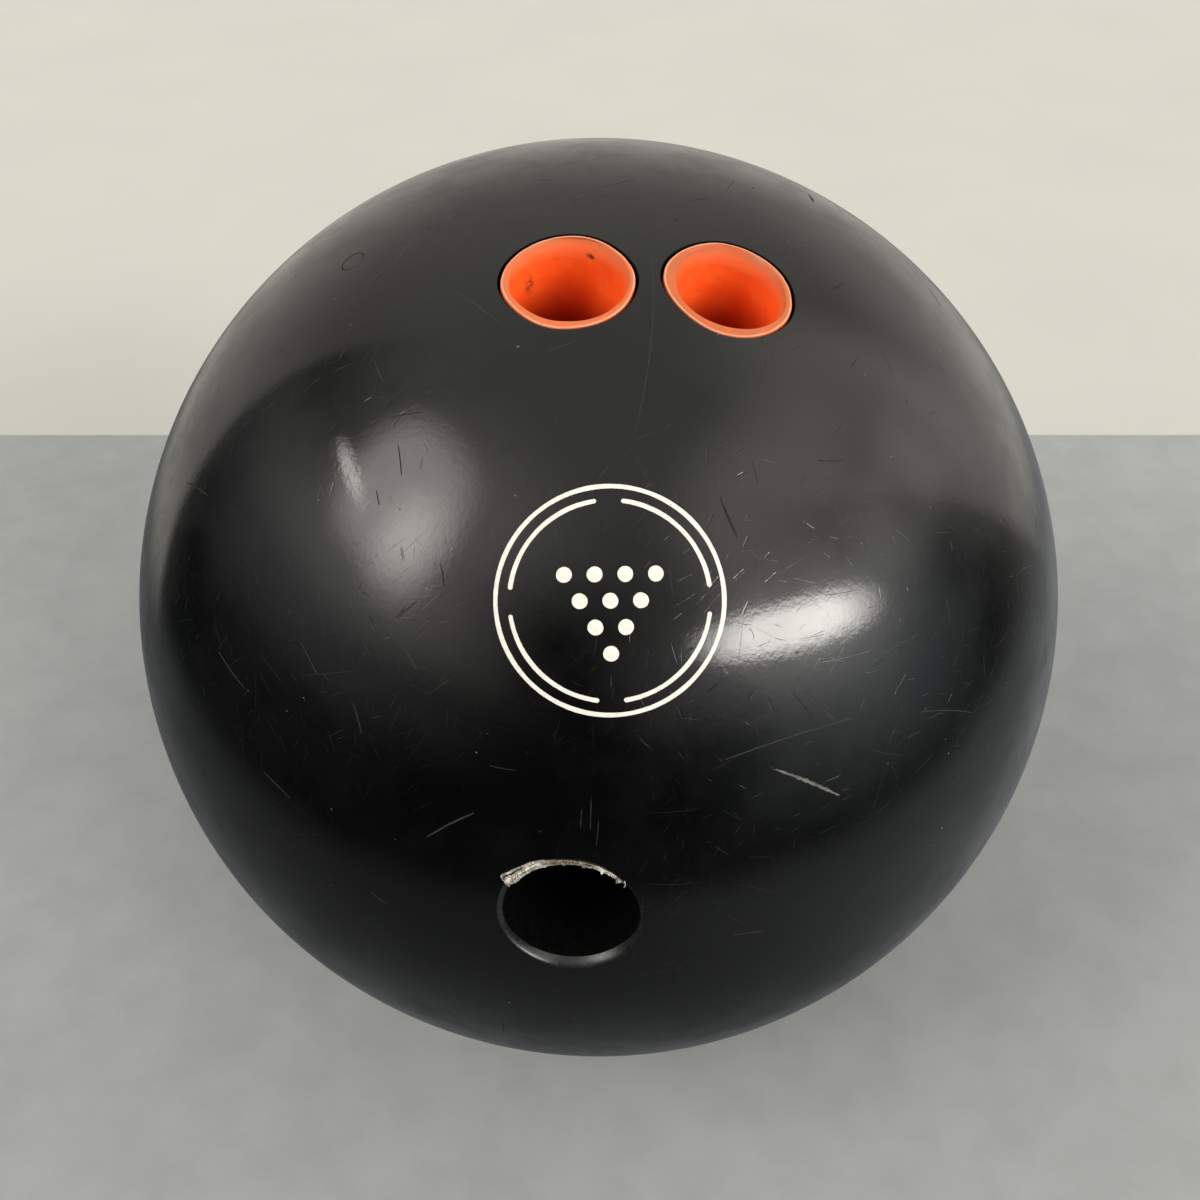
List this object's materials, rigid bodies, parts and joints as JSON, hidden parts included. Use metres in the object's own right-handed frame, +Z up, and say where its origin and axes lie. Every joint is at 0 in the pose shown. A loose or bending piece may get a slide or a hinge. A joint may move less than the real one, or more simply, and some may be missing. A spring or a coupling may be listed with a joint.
{
  "type": "bowling ball",
  "caption": "Tenpin bowling ball: a glossy black sphere drilled for a fingertip grip, with soft orange finger inserts, a taped thumb hole and an inlaid round emblem.",
  "frame": {"origin": "the centre of the ball", "axes": "+Z up as it rests on a floor, -Y the front, which the emblem faces from 40 degrees above level; +X to the right as seen from the front"},
  "size_m": [0.2172, 0.2172, 0.2172],
  "materials": {
    "cover": "polished black urethane with fine scratches, scuffs and a few gouges",
    "core": "cast pale filler, as drilled",
    "weight_block": "cast dense resin, as drilled",
    "locator_pin": "polished flush with the cover",
    "finger_insert": "soft orange vinyl, lip sanded and dusty",
    "tape": "worn off-white bowler's tape with a ragged edge",
    "emblem_paint": "off-white paint filled into shallow grooves"
  },
  "bodies": {
    "root": {"cover_shell": "cover", "inner_core": "core", "weight_block": "weight_block", "locator_pin": "locator_pin", "finger_insert_left": "finger_insert", "finger_insert_right": "finger_insert", "thumb_tape_base": "tape", "thumb_tape_top": "tape", "emblem_ring": "emblem_paint", "emblem_arc_1": "emblem_paint", "emblem_arc_2": "emblem_paint", "emblem_arc_3": "emblem_paint", "emblem_arc_4": "emblem_paint", "emblem_dot_1": "emblem_paint", "emblem_dot_2": "emblem_paint", "emblem_dot_3": "emblem_paint", "emblem_dot_4": "emblem_paint", "emblem_dot_5": "emblem_paint", "emblem_dot_6": "emblem_paint", "emblem_dot_7": "emblem_paint", "emblem_dot_8": "emblem_paint", "emblem_dot_9": "emblem_paint", "emblem_dot_10": "emblem_paint"}
  },
  "joints": []
}
